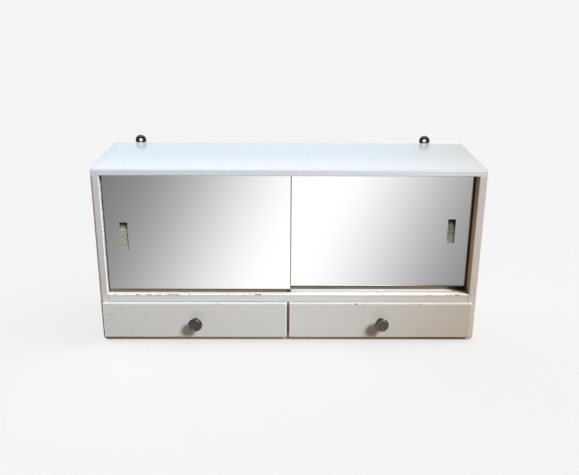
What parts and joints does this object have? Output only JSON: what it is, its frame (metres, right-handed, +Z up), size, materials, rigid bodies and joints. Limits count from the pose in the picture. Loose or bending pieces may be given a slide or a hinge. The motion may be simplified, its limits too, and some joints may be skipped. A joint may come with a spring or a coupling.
{
  "type": "medicine cabinet",
  "caption": "Wall-hung painted wooden medicine cabinet with sliding mirror doors in grooved tracks above shallow lipped drawers with round metal knobs.",
  "frame": {"origin": "centre of the case's underside", "axes": "+X to the right as seen from the front, +Y from the doors towards the wall, +Z up"},
  "size_m": [0.6, 0.2089, 0.299],
  "materials": {
    "case_paint": "aged white semi-gloss enamel paint on wood, chipped at the arrises",
    "drawer_paint": "aged white semi-gloss enamel paint on wood, a few small chips",
    "hardboard": "bare brown hardboard",
    "hanger_metal": "brown oxidised steel",
    "pin_steel": "dull wire steel",
    "door_plywood": "brown varnished plywood",
    "mirror_glass": "silvered flat glass with ground edges",
    "knob_metal": "aged grey plated metal, worn on the rim",
    "screw_steel": "zinc-plated steel",
    "drawer_plywood": "bare thin plywood",
    "drawer_pine": "bare pine"
  },
  "bodies": {
    "case": {"case_left_side": "case_paint", "case_right_side": "case_paint", "case_top": "case_paint", "case_bottom": "case_paint", "door_shelf": "case_paint", "drawer_divider": "case_paint", "back_panel": "hardboard", "inner_shelf": "case_paint", "shelf_batten_left": "case_paint", "shelf_batten_right": "case_paint", "hanger_plate_left": "hanger_metal", "hanger_plate_right": "hanger_metal", "hanger_screw_left_1": "hanger_metal", "hanger_screw_left_2": "hanger_metal", "hanger_screw_right_1": "hanger_metal", "hanger_screw_right_2": "hanger_metal", "panel_pin_01": "pin_steel", "panel_pin_02": "pin_steel", "panel_pin_03": "pin_steel", "panel_pin_04": "pin_steel", "panel_pin_05": "pin_steel", "panel_pin_06": "pin_steel", "panel_pin_07": "pin_steel", "panel_pin_08": "pin_steel", "panel_pin_09": "pin_steel", "panel_pin_10": "pin_steel", "panel_pin_11": "pin_steel", "panel_pin_12": "pin_steel"},
    "left_door": {"left_door_board": "door_plywood", "left_door_mirror": "mirror_glass"},
    "right_door": {"right_door_board": "door_plywood", "right_door_mirror": "mirror_glass"},
    "left_drawer": {"left_drawer_front": "drawer_paint", "left_drawer_left_side": "drawer_pine", "left_drawer_right_side": "drawer_pine", "left_drawer_back": "drawer_pine", "left_drawer_bottom": "drawer_plywood", "left_drawer_knob": "knob_metal", "left_drawer_knob_screw": "screw_steel"},
    "right_drawer": {"right_drawer_front": "drawer_paint", "right_drawer_left_side": "drawer_pine", "right_drawer_right_side": "drawer_pine", "right_drawer_back": "drawer_pine", "right_drawer_bottom": "drawer_plywood", "right_drawer_knob": "knob_metal", "right_drawer_knob_screw": "screw_steel"}
  },
  "joints": [
    {"name": "left_door_slide", "type": "slide", "parent": "case", "child": "left_door", "axis": [1, 0, 0], "range_m": [0, 0.284]},
    {"name": "right_door_slide", "type": "slide", "parent": "case", "child": "right_door", "axis": [-1, 0, 0], "range_m": [0, 0.283]},
    {"name": "left_drawer_slide", "type": "slide", "parent": "case", "child": "left_drawer", "axis": [0, -1, 0], "range_m": [0, 0.13]},
    {"name": "right_drawer_slide", "type": "slide", "parent": "case", "child": "right_drawer", "axis": [0, -1, 0], "range_m": [0, 0.13]}
  ]
}
